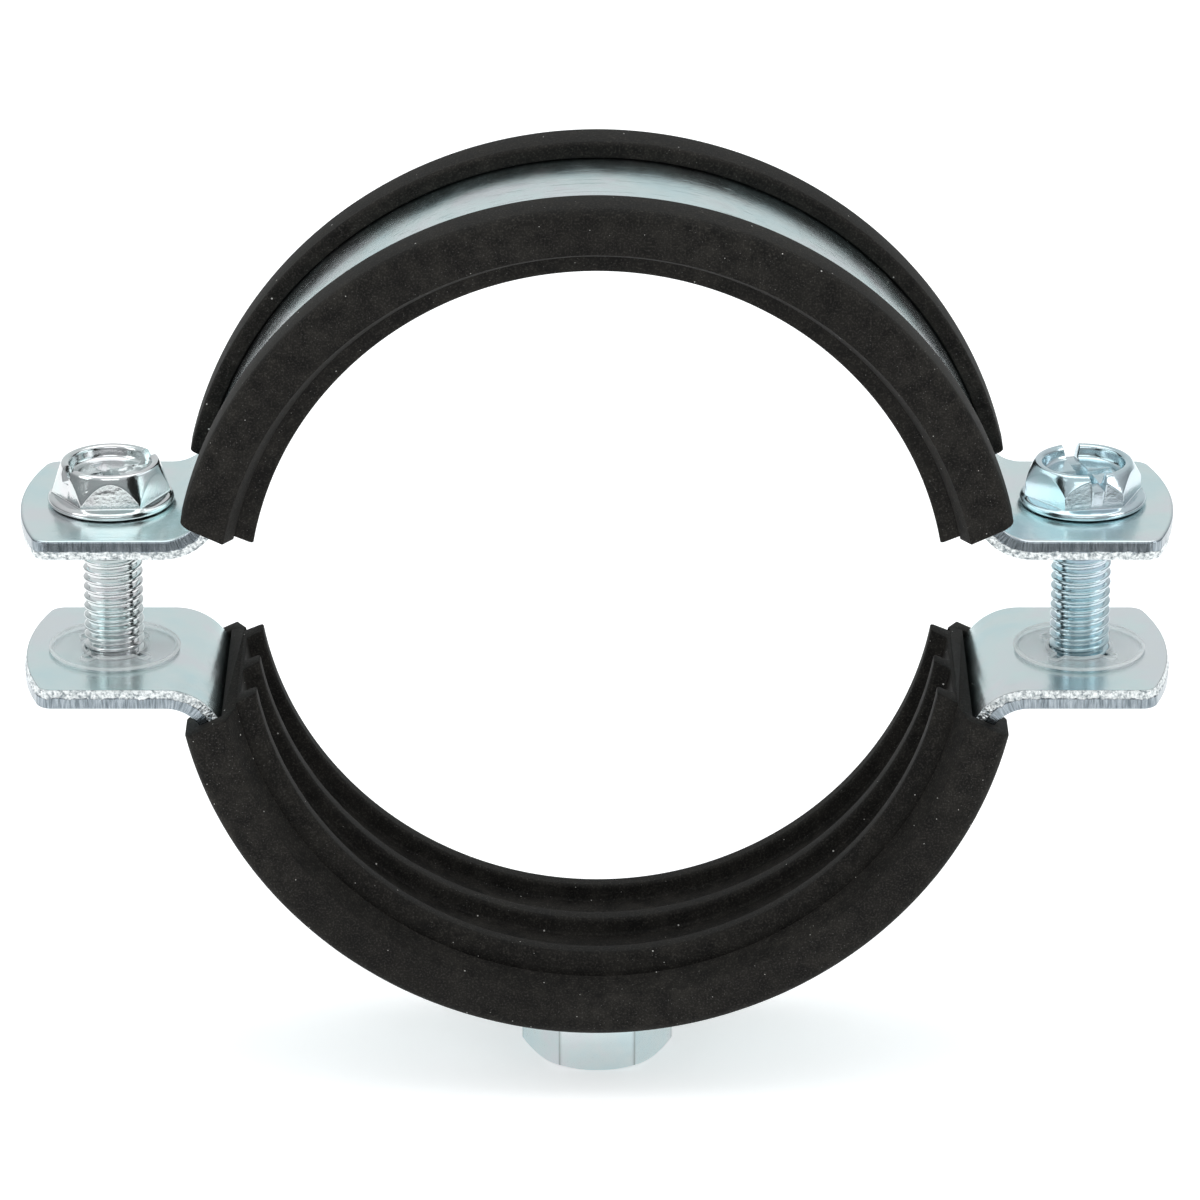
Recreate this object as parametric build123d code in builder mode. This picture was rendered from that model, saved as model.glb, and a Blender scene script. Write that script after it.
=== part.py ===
from build123d import *

import os
from math import asin, cos, degrees, radians, sin, tan

# Rubber lined two-screw pipe clamp.
# Millimetres. +X runs across the clamp from ear to ear, +Y along the pipe, +Z up.
# The origin is the centre of the pipe seat in the lower half.
# Both halves are the same bent strap and the same lining: the upper half is the lower one
# turned half a turn about the pipe and lifted by rest_opening.

# Pipe seat and lining
pipe_radius = 33.75  # circle through the crests of the ribs
rib_height = 1.7
rib_crest = 2.0
rib_draft = 0.25  # each side of a rib leans by this much over its height
rib_pitch = 8.2
lining_base = 1.9  # rubber between the rib roots and the strap
side_wall = 1.8  # rubber beside the strap's edges
bevel_rise = 1.2  # from the notch beside the outer rib up to the foot of the side wall
lip_thickness = 1.6  # rubber over the strap's outside
lip_round = 1.3
nut_lip_gap = 1.1  # from the connection nut's flats to the lips beside it
lining_end_drop = 7.9  # from the half's middle to the cut end, where it crosses the strap's inside
lining_end_angle = 25.0
lining_fit = 0.1  # all round between the strap and the lining

# Straps
strap_thickness = 2.0
strap_width = 22.0
strap_bevel = 0.25
bend_radius = 5.0  # middle of the strap, where it turns out into the ear
ear_setback = 4.9  # from the half's middle to the facing side of its ears
tip_reach = 8.8  # from the screw to the crown of the ear's bulged tip
tip_bulge = 2.1
screw_offset = 5.45  # along the ear, from the end of the bend to the screw
tip_corner_round = 1.6
rest_opening = 3.8  # the upper half stands this far above the fully round pipe seat

# Screws, M6
hex_sides = 6  # the screw heads' and the nut's
thread_radius = 2.95
screw_length = 20.0
screw_point = 0.6
ear_hole_clearance = 0.45
head_seat_gap = 0.05
flange_radius = 6.2
flange_height = 0.8
flange_round = 0.25
head_height = 4.2
head_across_flats = 10.0
cone_foot_radius = 5.85  # the head's cone where it leaves the flange
cone_foot_height = 0.95  # above the flange's underside
rim_radius = 4.75
cup_radius = 3.95
cup_depth = 1.3
slot_width = 1.5
slot_depth = 1.15
slot_direction = {"left": 32.0, "right": -76.0}  # from +X, as the screws stand at rest
recess_span = 5.6
recess_width = 1.3
recess_depth = 1.5
recess_taper = 12.0

# Threaded collar drawn down from each lower ear
thread_fit = 0.05
collar_radius = 4.5
collar_length = 1.5

# Plastic washers that keep the screws in the lower half
washer_radius = 6.5
washer_thickness = 0.6
washer_bore_clearance = 0.05
washer_seat_gap = 0.05
notch_count = 4
notch_length = 1.4  # outwards from the bore
notch_width = 1.0
first_notch = 50.0

# Connection nut welded under the lower strap, M8
nut_across_flats = 13.0
nut_height = 8.5  # below the strap's lowest line
nut_bore_radius = 3.4
nut_mouth_bevel = 0.6
nut_face_radius = 6.3  # flat ring left on the free end inside the bevelled corners
nut_corner_slope = 30.0  # of the bevel, from level
weld_gap = 0.1

# Worked out from the values above
rib_root = pipe_radius + rib_height
strap_inner = rib_root + lining_base + lining_fit
strap_outer = strap_inner + strap_thickness
strap_middle = (strap_inner + strap_outer) / 2
lining_outer = strap_outer + lining_fit + lip_thickness
lining_half_width = strap_width / 2 + lining_fit + side_wall
bend_centre_drop = ear_setback + strap_thickness / 2 + bend_radius
bend_angle = degrees(asin(bend_centre_drop / (strap_middle + bend_radius)))
bend_centre_reach = (strap_middle + bend_radius) * cos(radians(bend_angle))
screw_reach = bend_centre_reach + screw_offset
ear_tip = screw_reach + tip_reach
lip_edge = nut_across_flats / 2 + nut_lip_gap
lower_ear_top = -ear_setback
upper_ear_top = rest_opening + ear_setback + strap_thickness
head_seat = upper_ear_top + head_seat_gap
nut_base = -strap_outer - nut_height

# Each half is drawn in its own frame: local x across the clamp, local y along the pipe and
# local z towards the other half.
lower_half = Plane.XY
upper_half = Plane(origin=(0, 0, rest_opening), x_dir=(-1, 0, 0), z_dir=(0, 0, -1))
screw_places = GridLocations(2 * screw_reach, 0, 2, 1)


def across(half):
    """The plane across the pipe in one half: sketch x is the half's x, sketch y its z."""
    return Plane(origin=half.origin, x_dir=half.x_dir, z_dir=-half.y_dir)


def level(place, height):
    """A level plane on a screw's axis."""
    return Plane(origin=(place, 0, height))


def upright(place, height):
    """A plane through a screw's axis: sketch x is the radius, sketch y the height."""
    return Plane(origin=(place, 0, height), x_dir=(1, 0, 0), z_dir=(0, -1, 0))


def lining_profile():
    """Section of the lining in radius and width: three ribs inside, two lips outside.

    The gap between the lips ends at the strap's middle, where the strap's channel meets it.
    """
    rib_edge = rib_crest / 2
    root_edge = rib_edge + rib_draft
    with BuildSketch(mode=Mode.PRIVATE) as profile:
        with BuildLine():
            Polyline(
                (pipe_radius, rib_edge),
                (rib_root, root_edge),
                (rib_root, rib_pitch - root_edge),
                (pipe_radius, rib_pitch - rib_edge),
                (pipe_radius, rib_pitch + rib_edge),
                (rib_root, rib_pitch + root_edge),
                (rib_root + bevel_rise, lining_half_width),
                (lining_outer, lining_half_width),
                (lining_outer, lip_edge),
                (strap_middle, lip_edge),
            )
            mirror(about=Plane.XZ)
            Line((pipe_radius, -rib_edge), (pipe_radius, rib_edge))
            Line((strap_middle, -lip_edge), (strap_middle, lip_edge))
        make_face()
        outer_corners = profile.vertices().group_by(Axis.X)[-1].sort_by(Axis.Y)
        fillet([outer_corners[0], outer_corners[-1]], radius=lip_round)
    return profile.sketch


def lining_end(half, side):
    """The plane of one cut end, facing the other half. The cut leans down and outwards."""
    crossing = half.from_local_coords(Vector(side * strap_inner, 0, -lining_end_drop))
    lean = radians(lining_end_angle)
    facing = half.x_dir * side * sin(lean) + half.z_dir * cos(lean)
    return Plane(origin=crossing, z_dir=facing)


def lining(half):
    """The rubber channel of one half: its section turned about the pipe, cut off at a slant
    at both ends and hollowed by the strap's own outline with lining_fit to spare."""
    with BuildPart() as channel:
        with BuildSketch(half):
            add(lining_profile())
        revolve(axis=Axis(half.origin, half.y_dir), revolution_arc=180)
        for side in (-1, 1):
            split(bisect_by=lining_end(half, side), keep=Keep.BOTTOM)
        with BuildSketch(across(half)):
            add(strap_outline())
            offset(amount=lining_fit)
        extrude(amount=strap_width / 2 + lining_fit, both=True, mode=Mode.SUBTRACT)
    return channel


def strap_outline():
    """Edge view of the strap: the arc round the pipe, a bend each side and two flat ears."""
    bend_centre = (bend_centre_reach, -bend_centre_drop)
    bend_turn = 90 - bend_angle
    far_side = -ear_setback - strap_thickness
    past_tip = ear_tip + tip_bulge
    with BuildSketch(mode=Mode.PRIVATE) as outline:
        with BuildLine():
            CenterArc(bend_centre, bend_radius + strap_thickness / 2, 90, bend_turn)
            CenterArc(bend_centre, bend_radius - strap_thickness / 2, 90, bend_turn)
            Polyline(
                (bend_centre_reach, -ear_setback),
                (past_tip, -ear_setback),
                (past_tip, far_side),
                (bend_centre_reach, far_side),
            )
            mirror(about=Plane.YZ)
            CenterArc((0, 0), strap_inner, 180 + bend_angle, 2 * bend_turn)
            CenterArc((0, 0), strap_outer, 180 + bend_angle, 2 * bend_turn)
        make_face()
    return outline.sketch


def strap_plan():
    """Top view of the strap: straight sides and bulged tips with rounded corners."""
    corner = ear_tip - tip_bulge
    edge = strap_width / 2
    with BuildSketch(mode=Mode.PRIVATE) as plan:
        with BuildLine():
            ThreePointArc((corner, edge), (ear_tip, 0), (corner, -edge))
            mirror(about=Plane.YZ)
            Line((-corner, edge), (corner, edge))
            Line((-corner, -edge), (corner, -edge))
        make_face()
        fillet(plan.vertices(), radius=tip_corner_round)
    return plan.sketch


def strap(half):
    """The bent strap of one half, without its screw holes."""
    with BuildPart() as blank:
        with BuildSketch(across(half)):
            add(strap_outline())
        extrude(amount=strap_width / 2, both=True)
        with BuildSketch(half):
            add(strap_plan())
        extrude(amount=strap_outer, both=True, mode=Mode.INTERSECT)
        rim = blank.edges().filter_by(Axis.Y, reverse=True).filter_by(Axis.Z, reverse=True)
        chamfer(rim, length=strap_bevel)
    return blank.part


def retaining_washer(place):
    """A plastic disc that grips the screw's thread, with notches outwards from its bore."""
    bore = thread_radius + washer_bore_clearance
    with BuildPart() as washer:
        with BuildSketch(level(place, lower_ear_top + washer_seat_gap)):
            Circle(washer_radius)
            Circle(bore, mode=Mode.SUBTRACT)
            with PolarLocations(bore, notch_count, start_angle=first_notch):
                SlotCenterToCenter(2 * notch_length - notch_width, notch_width, mode=Mode.SUBTRACT)
        extrude(amount=washer_thickness)
    return washer


def cap_screw(place, slot_turn):
    """M6 screw with a washer-faced hexagon head, a hollow top, a slot and a cross recess."""
    cup_floor = head_height - cup_depth
    with BuildPart() as screw:
        with BuildSketch(upright(place, head_seat)):
            with BuildLine():
                Polyline(
                    (0, -screw_length),
                    (thread_radius - screw_point, -screw_length),
                    (thread_radius, screw_point - screw_length),
                    (thread_radius, 0),
                    (flange_radius - flange_round, 0),
                    (flange_radius, flange_round),
                    (flange_radius, flange_height),
                    (cone_foot_radius, cone_foot_height),
                    (rim_radius, head_height),
                    (cup_radius, head_height),
                    (cup_radius, cup_floor),
                    (0, cup_floor),
                    close=True,
                )
            make_face()
        revolve(axis=Axis((place, 0, 0), (0, 0, 1)))
        with BuildSketch(level(place, head_seat + cone_foot_height)):
            Circle(flange_radius)
            RegularPolygon(head_across_flats / 2, hex_sides, major_radius=False, mode=Mode.SUBTRACT)
        extrude(amount=head_height, mode=Mode.SUBTRACT)
        with BuildSketch(level(place, head_seat + head_height)):
            Rectangle(2 * flange_radius, slot_width, rotation=slot_turn)
        extrude(amount=-slot_depth, mode=Mode.SUBTRACT)
        with BuildSketch(level(place, head_seat + cup_floor)):
            Rectangle(recess_span, recess_width, rotation=slot_turn)
            Rectangle(recess_width, recess_span, rotation=slot_turn)
        extrude(amount=-recess_depth, taper=recess_taper, mode=Mode.SUBTRACT)
    return screw


with BuildPart() as lower_band:
    add(strap(lower_half))
    with BuildSketch(Plane.XY.offset(lower_ear_top - strap_thickness)):
        with screw_places:
            Circle(collar_radius)
    extrude(amount=-collar_length)
    with Locations(lower_half):
        with screw_places:
            Hole(radius=thread_radius + thread_fit)

with BuildPart() as upper_band:
    add(strap(upper_half))
    with Locations(Plane.XY.offset(upper_ear_top)):
        with screw_places:
            Hole(radius=thread_radius + ear_hole_clearance)

lower_lining = lining(lower_half)
upper_lining = lining(upper_half)

with BuildPart() as connection_nut:
    nut_corner = nut_across_flats / 2 / cos(radians(180 / hex_sides))
    bevel_height = (nut_corner - nut_face_radius) * tan(radians(nut_corner_slope))
    blank_height = nut_height + nut_across_flats / 2  # enough to be cut to the strap's curve
    with BuildSketch(level(0, nut_base)):
        RegularPolygon(nut_across_flats / 2, hex_sides, major_radius=False)
    extrude(amount=blank_height)
    with BuildSketch(upright(0, nut_base)):
        with BuildLine():
            Polyline(
                (0, 0),
                (nut_face_radius, 0),
                (nut_corner, bevel_height),
                (nut_corner, blank_height),
                (0, blank_height),
                close=True,
            )
        make_face()
    revolve(axis=Axis.Z, mode=Mode.INTERSECT)
    with BuildSketch(across(lower_half)):
        Circle(strap_outer + weld_gap)
    extrude(amount=nut_across_flats, both=True, mode=Mode.SUBTRACT)
    with Locations(level(0, nut_base)):
        Hole(radius=nut_bore_radius)
    mouth = connection_nut.edges().filter_by(GeomType.CIRCLE).group_by(Axis.Z)[0]
    chamfer(mouth.sort_by(SortBy.RADIUS)[0], length=nut_mouth_bevel)

named_parts = {
    "lower_band": lower_band,
    "upper_band": upper_band,
    "lower_lining": lower_lining,
    "upper_lining": upper_lining,
    "connection_nut": connection_nut,
}
for side, place in (("left", -screw_reach), ("right", screw_reach)):
    named_parts[side + "_washer"] = retaining_washer(place)
    named_parts[side + "_screw"] = cap_screw(place, slot_direction[side])

os.makedirs("parts", exist_ok=True)
for name, builder in named_parts.items():
    builder.part.label = name
    export_step(builder.part, f"parts/{name}.step")
    print(name, round(builder.part.volume, 1), "mm3")
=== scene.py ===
# %% [markdown]
# # Rubber lined pipe clamp
# Two bent steel straps hold a pipe between them. Each carries a rubber channel with three ribs,
# two screws draw the halves together, and a nut under the lower half takes a threaded rod.
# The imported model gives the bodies, the sizes and the places. Here every piece is made again
# with the detail that a maker would see: sheared edges, threads, rounded rubber, plating.

# %% Frame
import math

import bmesh
import bpy
from mathutils import Matrix, Vector, noise


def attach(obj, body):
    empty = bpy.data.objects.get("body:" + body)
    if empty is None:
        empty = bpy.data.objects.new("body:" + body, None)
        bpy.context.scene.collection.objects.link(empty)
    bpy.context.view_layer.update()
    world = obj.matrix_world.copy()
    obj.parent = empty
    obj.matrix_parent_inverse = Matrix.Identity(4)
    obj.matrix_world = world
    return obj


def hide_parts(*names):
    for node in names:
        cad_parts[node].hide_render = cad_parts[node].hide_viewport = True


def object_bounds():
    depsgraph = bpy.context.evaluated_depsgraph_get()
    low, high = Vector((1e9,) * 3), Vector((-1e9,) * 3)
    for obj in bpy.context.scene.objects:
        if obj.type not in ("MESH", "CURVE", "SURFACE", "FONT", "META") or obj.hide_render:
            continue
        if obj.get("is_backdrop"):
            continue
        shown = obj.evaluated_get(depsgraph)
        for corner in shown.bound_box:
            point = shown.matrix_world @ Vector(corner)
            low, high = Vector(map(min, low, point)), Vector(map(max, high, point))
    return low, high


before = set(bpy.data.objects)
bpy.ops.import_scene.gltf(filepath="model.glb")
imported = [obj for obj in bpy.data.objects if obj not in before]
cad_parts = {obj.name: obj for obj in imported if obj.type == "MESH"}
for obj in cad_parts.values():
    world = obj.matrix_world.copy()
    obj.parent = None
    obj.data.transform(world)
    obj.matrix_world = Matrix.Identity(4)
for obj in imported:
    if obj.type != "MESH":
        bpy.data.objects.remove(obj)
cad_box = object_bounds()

scene = bpy.context.scene

# %% [markdown]
# ## Camera
# A long lens far away keeps the two ears nearly the same size, as in a catalogue view. The camera
# looks down by about 22 degrees. It could be aimed by a constraint, but a place and a rotation
# worked out once are easier to read.

# %% Camera
MM = 0.001
camera_tilt = math.radians(21.9)
camera_distance = 740 * MM
look_at = Vector((0.3 * MM, 0, 0.2 * MM))

camera_data = bpy.data.cameras.new("camera")
camera_data.sensor_width = 36
camera_data.lens = 225.8
camera = bpy.data.objects.new("camera", camera_data)
scene.collection.objects.link(camera)
camera_side = Vector((0, -math.cos(camera_tilt), math.sin(camera_tilt)))
camera.location = look_at + camera_distance * camera_side
camera.rotation_euler = (math.pi / 2 - camera_tilt, 0, 0)
scene.camera = camera
print("camera", [round(v, 3) for v in camera.location])

# %% [markdown]
# ## Short hands for nodes
# A node tree is built by adding nodes and joining sockets. Each sum or noise could be written out
# in three lines, but the rule of a finish is easier to see when it takes one. An input that is
# given a socket is linked, and one that is given a value keeps it. The same class serves shader
# trees and Geometry Nodes trees.


# %% Node building
class Nodes:
    """Adds nodes to one tree. Inputs are given by name or number, as values or as sockets."""

    def __init__(self, tree):
        self.tree = tree

    def add(self, kind, inputs=None, **settings):
        """A new node with its inputs fed and its own settings made."""
        made = self.tree.nodes.new(kind)
        for key, value in settings.items():
            setattr(made, key, value)
        for key, value in (inputs or {}).items():
            self.feed(made, key, value)
        return made

    def feed(self, made, key, value):
        """Links a socket to an input, or sets the input to a plain value."""
        if isinstance(value, bpy.types.NodeSocket):
            self.tree.links.new(value, made.inputs[key])
        else:
            made.inputs[key].default_value = value

    def math(self, operation, *values, clamp=False):
        inputs = dict(enumerate(values))
        return self.add("ShaderNodeMath", inputs, operation=operation, use_clamp=clamp).outputs[0]

    def plus(self, first, second):
        return self.math("ADD", first, second)

    def minus(self, first, second):
        return self.math("SUBTRACT", first, second)

    def times(self, first, second):
        return self.math("MULTIPLY", first, second)

    def vector(self, operation, first, second):
        """One step of vector arithmetic. SCALE takes a plain number second."""
        inputs = {0: first, "Scale" if operation == "SCALE" else 1: second}
        return self.add("ShaderNodeVectorMath", inputs, operation=operation).outputs[0]

    def blend(self, factor, first, second, kind="FLOAT"):
        """Mixes two numbers or two colours, as the socket names of the Mix node allow."""
        mix = self.add("ShaderNodeMix", data_type=kind)
        for name, value in (("Factor", factor), ("A", first), ("B", second)):
            fitting = [s for s in mix.inputs if s.name == name and s.enabled]
            self.feed(mix, list(mix.inputs).index(fitting[0]), value)
        return [s for s in mix.outputs if s.enabled][0]

    def tint(self, factor, first, second):
        """Mixes two colours."""
        return self.blend(factor, first, second, "RGBA")

    def spread(self, value, low, high, new_low=0.0, new_high=1.0, smooth=False):
        """Turns a range of values into another, stopping at both ends."""
        how = "SMOOTHSTEP" if smooth else "LINEAR"
        inputs = {"Value": value, "From Min": low, "From Max": high}
        inputs.update({"To Min": new_low, "To Max": new_high})
        return self.add("ShaderNodeMapRange", inputs, interpolation_type=how).outputs["Result"]

    def spot(self):
        """The place of a point on its piece, in metres."""
        return self.add("ShaderNodeTexCoord").outputs["Object"]

    def mark(self, name):
        """A value that the mesh carries at its points."""
        return self.add("ShaderNodeAttribute", attribute_name=name).outputs["Fac"]

    def noise(self, where, scale, detail, roughness=0.5):
        """Clouds between 0 and 1. scale is about how many there are in a metre."""
        inputs = {"Vector": where, "Scale": scale, "Detail": detail, "Roughness": roughness}
        return self.add("ShaderNodeTexNoise", inputs).outputs["Fac"]


# %% [markdown]
# ## Node groups
# A group is a tree with a name and a list of sockets, like a tool with labelled dials. The sockets
# could be declared one by one with their types. Here a value tells its own type, so a group's
# inputs read as a list of names and usual values.

# %% Groups
def socket_kind(value):
    """The kind of socket that holds a value. Text names a kind that has no plain value."""
    if isinstance(value, str):
        return value
    if isinstance(value, (int, float)):
        return "Int" if isinstance(value, int) else "Float"
    return "Color" if len(value) == 4 else "Vector"


def new_group(name, kind, inputs, outputs):
    """A node group with named inputs and outputs, and its input sockets by name."""
    tree = bpy.data.node_groups.new(name, kind)
    for side, sockets in (("INPUT", inputs), ("OUTPUT", outputs)):
        for label, value in sockets.items():
            socket_type = "NodeSocket" + socket_kind(value)
            socket = tree.interface.new_socket(label, in_out=side, socket_type=socket_type)
            if not isinstance(value, str):
                socket.default_value = value
    build = Nodes(tree)
    entry = build.add("NodeGroupInput")
    leave = build.add("NodeGroupOutput")
    return tree, build, entry.outputs, leave


def finish_shape(build, leave, geometry, material):
    """The end of every geometry tree here: real mesh instead of instances, then its material."""
    real = build.add("GeometryNodeRealizeInstances", {"Geometry": geometry}).outputs[0]
    inputs = {"Geometry": real, "Material": material}
    painted = build.add("GeometryNodeSetMaterial", inputs).outputs[0]
    build.feed(leave, "Geometry", painted)


# %% [markdown]
# ## Meshes
# Points are written in millimetres, as on a drawing, and become metres in one place. A piece could
# be drawn at its own origin and then moved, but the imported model's nodes keep their place in their
# points, so the pieces here do too.

# %% Mesh building
merge_distance = 0.0005


def solid(name, points, faces, values=None):
    """An object from points in millimetres. values holds a number for each point, by name."""
    mesh = bpy.data.meshes.new(name)
    mesh.from_pydata([[c * MM for c in p] for p in points], [], faces)
    for key, numbers in (values or {}).items():
        mesh.attributes.new(key, "FLOAT", "POINT").data.foreach_set("value", numbers)
    made = bpy.data.objects.new(name, mesh)
    scene.collection.objects.link(made)
    return made


def tidy(piece, corner):
    """Merges doubled points, turns the faces outwards and rounds the shading below corner."""
    work = bmesh.new()
    work.from_mesh(piece.data)
    bmesh.ops.remove_doubles(work, verts=work.verts, dist=merge_distance * MM)
    bmesh.ops.dissolve_degenerate(work, edges=work.edges, dist=merge_distance * MM / 10)
    bmesh.ops.recalc_face_normals(work, faces=work.faces)
    open_edges = sum(1 for e in work.edges if len(e.link_faces) != 2)
    work.to_mesh(piece.data)
    work.free()
    piece.data.shade_smooth()
    piece.data.set_sharp_from_angle(angle=math.radians(corner))
    print(piece.name, len(piece.data.polygons), "faces", open_edges, "open edges")


def join(piece, finish, other, other_finish):
    """Puts the other object's mesh into the piece. Each part keeps its own finish."""
    finishes = [finish] if other_finish == finish else [finish, other_finish]
    work = bmesh.new()
    work.from_mesh(piece.data)
    own = len(work.faces)
    work.from_mesh(other.data)
    for i, face in enumerate(work.faces):
        face.material_index = 0 if i < own else len(finishes) - 1
    work.to_mesh(piece.data)
    work.free()
    bpy.data.objects.remove(other)
    piece.data.materials.clear()
    for material in finishes:
        piece.data.materials.append(material)


# %% [markdown]
# ## Rows of points
# Turned, cut and extruded metal and rubber all have the same build: the same line of points again
# and again, with quads between one row and the next. Blender's own cylinders would need their
# points moved afterwards. Here each row is worked out where it belongs.

# %% Rows and roundings
def strips(rows, width):
    """Quads between closed rows of points that follow each other, width points in each row."""
    faces = []
    for r in range(rows - 1):
        for c in range(width):
            n = (c + 1) % width
            faces.append((r * width + c, r * width + n, (r + 1) * width + n, (r + 1) * width + c))
    return faces


def turned(name, column_at, columns):
    """A turned piece. column_at(angle) lists as many (radius, height) pairs at each angle."""
    angles = [360 * c / columns for c in range(columns)]
    by_column = [column_at(a) for a in angles]
    rows = len(by_column[0])
    points = []
    for r in range(rows):
        for a, column in zip(angles, by_column):
            radius, height = column[r]
            x, y = radius * math.cos(math.radians(a)), radius * math.sin(math.radians(a))
            points.append((x, y, height))
    return solid(name, points, strips(rows, columns))


degrees_a_step = 15


def rounded(corners):
    """A closed outline from (x, y, radius) corners, each rounded by short steps of its arc."""
    outline = []
    count = len(corners)
    for i, (x, y, radius) in enumerate(corners):
        here = Vector((x, y))
        to_last = (Vector(corners[i - 1][:2]) - here).normalized()
        to_next = (Vector(corners[(i + 1) % count][:2]) - here).normalized()
        opening = to_last.angle(to_next)
        reach = radius / math.tan(opening / 2)
        middle = here + (to_last + to_next).normalized() * (radius / math.sin(opening / 2))
        start, end = here + to_last * reach - middle, here + to_next * reach - middle
        turn = start.angle_signed(end)
        steps = max(2, round(abs(math.degrees(turn)) / degrees_a_step))
        for s in range(steps + 1):
            part = start.copy()
            part.rotate(Matrix.Rotation(-turn * s / steps, 2))
            outline.append(middle + part)
    return outline


square = [(0, 0, 1), (9, 0, 1), (9, 9, 1), (0, 9, 1)]
print("a square with round corners", len(rounded(square)), "points")

# %% [markdown]
# ## Two halves
# The upper half is the lower one turned half a turn about the pipe and lifted. It could be made as
# a copy of the finished lower half, but its holes differ. So each piece is drawn in the lower
# half's place, and its path is moved for the upper one.

# %% Halves
rest_opening = 3.8
halves = {
    "lower": Matrix.Identity(4),
    "upper": Matrix.Translation((0, 0, rest_opening * MM)) @ Matrix.Rotation(math.pi, 4, "Y"),
}
print("halves", list(halves), "opened by", rest_opening, "mm")

# %% [markdown]
# ## Strap and lining along a path
# The real strap is punched flat and then bent, and the real lining is extruded straight and pushed
# on. Geometry Nodes do the same here: a flat piece is laid along a curve. Its x becomes the
# distance along the path, its y stays across, and its z stands up from the path. Modelling the
# bent shape point by point would also work, but then a new bend would mean a new mesh.

# %% Bend along a path
bend_tree, build, given, leave = new_group(
    "bend along a path",
    "GeometryNodeTree",
    {"Geometry": "Geometry", "Path": "Object", "Middle": 0.0, "Finish": "Material"},
    {"Geometry": "Geometry"},
)
path = build.add("GeometryNodeObjectInfo", {"Object": given["Path"]}).outputs["Geometry"]
place = build.add("GeometryNodeInputPosition").outputs[0]
flat = build.add("ShaderNodeSeparateXYZ", {0: place}).outputs
sample = build.add(
    "GeometryNodeSampleCurve",
    {"Curves": path, "Length": build.plus(flat["X"], given["Middle"])},
    mode="LENGTH",
    use_all_curves=True,
).outputs
up = build.vector("CROSS_PRODUCT", sample["Tangent"], (0, 1, 0))
raised = build.vector("ADD", sample["Position"], build.vector("SCALE", up, flat["Z"]))
across = build.add("ShaderNodeCombineXYZ", {"Y": flat["Y"]}).outputs[0]
inputs = {"Geometry": given["Geometry"], "Position": build.vector("ADD", raised, across)}
bent = build.add("GeometryNodeSetPosition", inputs).outputs[0]
finish_shape(build, leave, bent, given["Finish"])
print("bend tree", len(bend_tree.nodes), "nodes")

# %% [markdown]
# ## Running a tree, and its paths
# A bender works from a line: straight, arc, straight. The path is that line, drawn as a curve of
# short steps. The tree could stay live on the piece, but the parts are handed on as plain meshes,
# so the result is kept and the modifier taken away.


# %% Paths
def run_tree(piece, tree, values):
    """Runs a geometry tree on a piece and keeps the plain mesh that comes out."""
    modifier = piece.modifiers.new("shape", "NODES")
    modifier.node_group = tree
    for item in tree.interface.items_tree:
        if item.in_out == "INPUT" and item.name in values:
            modifier[item.identifier] = values[item.name]
    graph = bpy.context.evaluated_depsgraph_get()
    shaped = piece.evaluated_get(graph)
    mesh = bpy.data.meshes.new_from_object(shaped, preserve_all_data_layers=True, depsgraph=graph)
    piece.modifiers.remove(modifier)
    piece.data = mesh


def path_curve(name, points, half):
    """An open curve through points (x, z) in millimetres, drawn in one half's frame."""
    data = bpy.data.curves.new(name, "CURVE")
    data.dimensions = "3D"
    spline = data.splines.new("POLY")
    spline.points.add(len(points) - 1)
    for knot, (x, z) in zip(spline.points, points):
        knot.co = (*(halves[half] @ Vector((x * MM, 0, z * MM))), 1)
    made = bpy.data.objects.new(name, data)
    scene.collection.objects.link(made)
    return made


def arc(centre, radius, start, end, step):
    """Points of an arc in the x-z plane. Angles in degrees, from +x towards +z."""
    count = max(2, round(abs(end - start) / step))
    turns = [math.radians(start + (end - start) * i / count) for i in range(count + 1)]
    return [(centre[0] + radius * math.cos(t), centre[1] + radius * math.sin(t)) for t in turns]


print("a quarter turn in steps of 5 degrees", len(arc((0, 0), 10, 0, 90, 5)), "points")

# %% [markdown]
# ## Zinc plating
# Blue passivated zinc is a bright metal seen through a film a few atoms thick. The film gives
# cloudy hints of pink, straw and cyan, the plating under it is slightly grainy, and handling leaves
# hairlines. All of that changes over the surface, so it is one shader group that the strap, the
# screws and the nut place with their own values. The Principled BSDF itself stays in the material.

# %% Plating group
film_start, film_end = (0.64, 0.80, 0.88, 1), (0.86, 0.82, 0.70, 1)
film_tints = (
    (0.36, (0.58, 0.80, 0.82, 1)),
    (0.50, (0.74, 0.84, 0.82, 1)),
    (0.62, (0.84, 0.77, 0.80, 1)),
)
plating_inputs = {
    "Base": (0.70, 0.78, 0.79, 1),
    "Film": 0.35,
    "Cloud Size": 4.0,
    "Roughness": 0.25,
    "Grain": 0.5,
    "Hairlines": 0.4,
}
plating, build, given, leave = new_group(
    "zinc plating",
    "ShaderNodeTree",
    plating_inputs,
    {"Color": "Color", "Roughness": "Float", "Height": "Float"},
)
spot = build.spot()
film = build.noise(spot, build.math("DIVIDE", 1 / MM, given["Cloud Size"]), 4.0, 0.6)
tints = build.add("ShaderNodeValToRGB", {"Fac": film})
ramp = tints.color_ramp
for place, colour in film_tints:
    ramp.elements.new(place).color = colour
ramp.elements[0].color = film_start
ramp.elements[-1].color = film_end
plated = build.tint(given["Film"], given["Base"], tints.outputs["Color"])
fine = build.noise(spot, 3200.0, 3.0)
soft = build.noise(spot, 420.0, 3.0)
pits = build.times(build.spread(fine, 0.66, 0.76, 0.0, 0.35), given["Grain"])
build.feed(leave, "Color", build.tint(pits, plated, (0.42, 0.46, 0.48, 1)))
uneven = build.times(build.minus(soft, 0.5), 0.14)
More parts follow.
